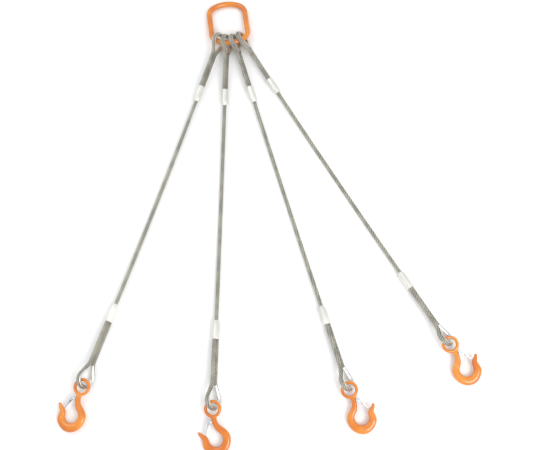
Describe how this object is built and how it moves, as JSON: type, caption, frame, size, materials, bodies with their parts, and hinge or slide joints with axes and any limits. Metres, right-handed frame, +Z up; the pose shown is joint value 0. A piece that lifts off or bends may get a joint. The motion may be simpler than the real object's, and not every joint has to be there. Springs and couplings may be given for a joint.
{
  "type": "multi-leg wire rope lifting sling",
  "caption": "Wire rope lifting sling laid out flat: an orange oblong master link, fanned rope legs with thimble eyes and pressed ferrules, and orange eye hooks with sprung latches.",
  "frame": {"origin": "under the middle of the whole sling's box, on the floor that it lies on", "axes": "+Y from the hooks towards the master link, +X to the right seen from above, +Z up"},
  "size_m": [0.8272, 1.0126, 0.0361],
  "materials": {
    "master_link": "glossy orange powder coat",
    "hook": "glossy orange powder coat over a forging",
    "rope": "galvanised wire, lightly greased",
    "thimble": "bright galvanised sheet",
    "ferrule": "pressed, matt",
    "latch": "zinc plated sheet",
    "latch_pin": "zinc plated rivet",
    "latch_spring": "spring wire"
  },
  "bodies": {
    "link": {"master_link": "master_link"},
    "leg_1_upper": {"leg_1_upper_thimble": "thimble", "leg_1_upper_eye_rope": "rope", "leg_1_upper_ferrule": "ferrule", "leg_1_rope_top": "rope"},
    "leg_1_middle": {"leg_1_rope_middle": "rope"},
    "leg_1_lower": {"leg_1_rope_bottom": "rope", "leg_1_lower_ferrule": "ferrule", "leg_1_lower_eye_rope": "rope", "leg_1_lower_thimble": "thimble"},
    "hook_1_body": {"hook_1": "hook", "hook_1_latch_pin": "latch_pin", "hook_1_latch_spring": "latch_spring"},
    "hook_1_latch_body": {"hook_1_latch": "latch"},
    "leg_2_upper": {"leg_2_upper_thimble": "thimble", "leg_2_upper_eye_rope": "rope", "leg_2_upper_ferrule": "ferrule", "leg_2_rope_top": "rope"},
    "leg_2_middle": {"leg_2_rope_middle": "rope"},
    "leg_2_lower": {"leg_2_rope_bottom": "rope", "leg_2_lower_ferrule": "ferrule", "leg_2_lower_eye_rope": "rope", "leg_2_lower_thimble": "thimble"},
    "hook_2_body": {"hook_2": "hook", "hook_2_latch_pin": "latch_pin", "hook_2_latch_spring": "latch_spring"},
    "hook_2_latch_body": {"hook_2_latch": "latch"},
    "leg_3_upper": {"leg_3_upper_thimble": "thimble", "leg_3_upper_eye_rope": "rope", "leg_3_upper_ferrule": "ferrule", "leg_3_rope_top": "rope"},
    "leg_3_middle": {"leg_3_rope_middle": "rope"},
    "leg_3_lower": {"leg_3_rope_bottom": "rope", "leg_3_lower_ferrule": "ferrule", "leg_3_lower_eye_rope": "rope", "leg_3_lower_thimble": "thimble"},
    "hook_3_body": {"hook_3": "hook", "hook_3_latch_pin": "latch_pin", "hook_3_latch_spring": "latch_spring"},
    "hook_3_latch_body": {"hook_3_latch": "latch"},
    "leg_4_upper": {"leg_4_upper_thimble": "thimble", "leg_4_upper_eye_rope": "rope", "leg_4_upper_ferrule": "ferrule", "leg_4_rope_top": "rope"},
    "leg_4_middle": {"leg_4_rope_middle": "rope"},
    "leg_4_lower": {"leg_4_rope_bottom": "rope", "leg_4_lower_ferrule": "ferrule", "leg_4_lower_eye_rope": "rope", "leg_4_lower_thimble": "thimble"},
    "hook_4_body": {"hook_4": "hook", "hook_4_latch_pin": "latch_pin", "hook_4_latch_spring": "latch_spring"},
    "hook_4_latch_body": {"hook_4_latch": "latch"}
  },
  "joints": [
    {"name": "leg_1_swing", "type": "hinge", "parent": "link", "child": "leg_1_upper", "pos_m": [-0.0164, 0.39494, 0.01773], "axis": [-0.7397, 0.3753, -0.5585], "range_deg": [-90, 90]},
    {"name": "leg_1_lift", "type": "hinge", "parent": "leg_1_upper", "child": "leg_1_middle", "pos_m": [-0.15127, 0.1057, 0.00466], "axis": [-0.9063, 0.4226, 0], "range_deg": [-60, 60], "stiffness_Nm_per_rad": 0.5, "deforming": ["leg_1_rope_top", "leg_1_rope_middle"]},
    {"name": "leg_1_sway", "type": "hinge", "parent": "leg_1_middle", "child": "leg_1_lower", "pos_m": [-0.21945, -0.04052, 0.00463], "axis": [0, 0, 1], "range_deg": [-25, 25], "stiffness_Nm_per_rad": 0.5, "deforming": ["leg_1_rope_middle", "leg_1_rope_bottom"]},
    {"name": "hook_1_pivot", "type": "hinge", "parent": "leg_1_lower", "child": "hook_1_body", "pos_m": [-0.36151, -0.34516, 0.01789], "axis": [-0.1804, -0.0575, 0.9819], "range_deg": [-80, 80]},
    {"name": "hook_1_latch_hinge", "type": "hinge", "parent": "hook_1_body", "child": "hook_1_latch_body", "pos_m": [-0.3781, -0.36409, 0.01374], "axis": [-0.1804, -0.0575, 0.9819], "range_deg": [0, 45], "stiffness_Nm_per_rad": 0.02, "springref_deg": -57.3, "deforming": ["hook_1_latch_spring"]},
    {"name": "leg_2_swing", "type": "hinge", "parent": "link", "child": "leg_2_upper", "pos_m": [0.0013, 0.38917, 0.01836], "axis": [-0.8165, 0.1467, -0.5585], "range_deg": [-90, 90]},
    {"name": "leg_2_lift", "type": "hinge", "parent": "leg_2_upper", "child": "leg_2_middle", "pos_m": [-0.04422, 0.07331, 0.00469], "axis": [-0.9898, 0.1426, 0], "range_deg": [-60, 60], "stiffness_Nm_per_rad": 0.5, "deforming": ["leg_2_rope_top", "leg_2_rope_middle"]},
    {"name": "leg_2_sway", "type": "hinge", "parent": "leg_2_middle", "child": "leg_2_lower", "pos_m": [-0.06723, -0.08637, 0.00463], "axis": [0, 0, 1], "range_deg": [-25, 25], "stiffness_Nm_per_rad": 0.5, "deforming": ["leg_2_rope_middle", "leg_2_rope_bottom"]},
    {"name": "hook_2_pivot", "type": "hinge", "parent": "leg_2_lower", "child": "hook_2_body", "pos_m": [-0.11517, -0.41908, 0.01789], "axis": [-0.1396, -0.1279, 0.9819], "range_deg": [-80, 80]},
    {"name": "hook_2_latch_hinge", "type": "hinge", "parent": "hook_2_body", "child": "hook_2_latch_body", "pos_m": [-0.12229, -0.44322, 0.01374], "axis": [-0.1396, -0.1279, 0.9819], "range_deg": [0, 45], "stiffness_Nm_per_rad": 0.02, "springref_deg": -57.3, "deforming": ["hook_2_latch_spring"]},
    {"name": "leg_3_swing", "type": "hinge", "parent": "link", "child": "leg_3_upper", "pos_m": [0.01992, 0.38917, 0.01836], "axis": [-0.823, -0.1042, -0.5585], "range_deg": [-90, 90]},
    {"name": "leg_3_lift", "type": "hinge", "parent": "leg_3_upper", "child": "leg_3_middle", "pos_m": [0.07094, 0.07415, 0.00469], "axis": [-0.9871, -0.1599, 0], "range_deg": [-60, 60], "stiffness_Nm_per_rad": 0.5, "deforming": ["leg_3_rope_top", "leg_3_rope_middle"]},
    {"name": "leg_3_sway", "type": "hinge", "parent": "leg_3_middle", "child": "leg_3_lower", "pos_m": [0.09674, -0.0851, 0.00463], "axis": [0, 0, 1], "range_deg": [-25, 25], "stiffness_Nm_per_rad": 0.5, "deforming": ["leg_3_rope_middle", "leg_3_rope_bottom"]},
    {"name": "hook_3_pivot", "type": "hinge", "parent": "leg_3_lower", "child": "hook_3_body", "pos_m": [0.15048, -0.41692, 0.01789], "axis": [0.0992, 0.1574, -0.9825], "range_deg": [-80, 80]},
    {"name": "hook_3_latch_hinge", "type": "hinge", "parent": "hook_3_body", "child": "hook_3_latch_body", "pos_m": [0.16405, -0.43842, 0.01582], "axis": [0.0992, 0.1574, -0.9825], "range_deg": [0, 45], "stiffness_Nm_per_rad": 0.02, "springref_deg": -57.3, "deforming": ["hook_3_latch_spring"]},
    {"name": "leg_4_swing", "type": "hinge", "parent": "link", "child": "leg_4_upper", "pos_m": [0.03761, 0.39494, 0.01773], "axis": [-0.7718, -0.304, -0.5585], "range_deg": [-90, 90]},
    {"name": "leg_4_lift", "type": "hinge", "parent": "leg_4_upper", "child": "leg_4_middle", "pos_m": [0.16436, 0.10205, 0.00466], "axis": [-0.9178, -0.3971, 0], "range_deg": [-60, 60], "stiffness_Nm_per_rad": 0.5, "deforming": ["leg_4_rope_top", "leg_4_rope_middle"]},
    {"name": "leg_4_sway", "type": "hinge", "parent": "leg_4_middle", "child": "leg_4_lower", "pos_m": [0.22843, -0.04602, 0.00463], "axis": [0, 0, 1], "range_deg": [-25, 25], "stiffness_Nm_per_rad": 0.5, "deforming": ["leg_4_rope_middle", "leg_4_rope_bottom"]},
    {"name": "hook_4_pivot", "type": "hinge", "parent": "leg_4_lower", "child": "hook_4_body", "pos_m": [0.36193, -0.35451, 0.01789], "axis": [0.0757, 0.17, -0.9825], "range_deg": [-80, 80]},
    {"name": "hook_4_latch_hinge", "type": "hinge", "parent": "hook_4_body", "child": "hook_4_latch_body", "pos_m": [0.37843, -0.37385, 0.01582], "axis": [0.0757, 0.17, -0.9825], "range_deg": [0, 45], "stiffness_Nm_per_rad": 0.02, "springref_deg": -57.3, "deforming": ["hook_4_latch_spring"]}
  ]
}
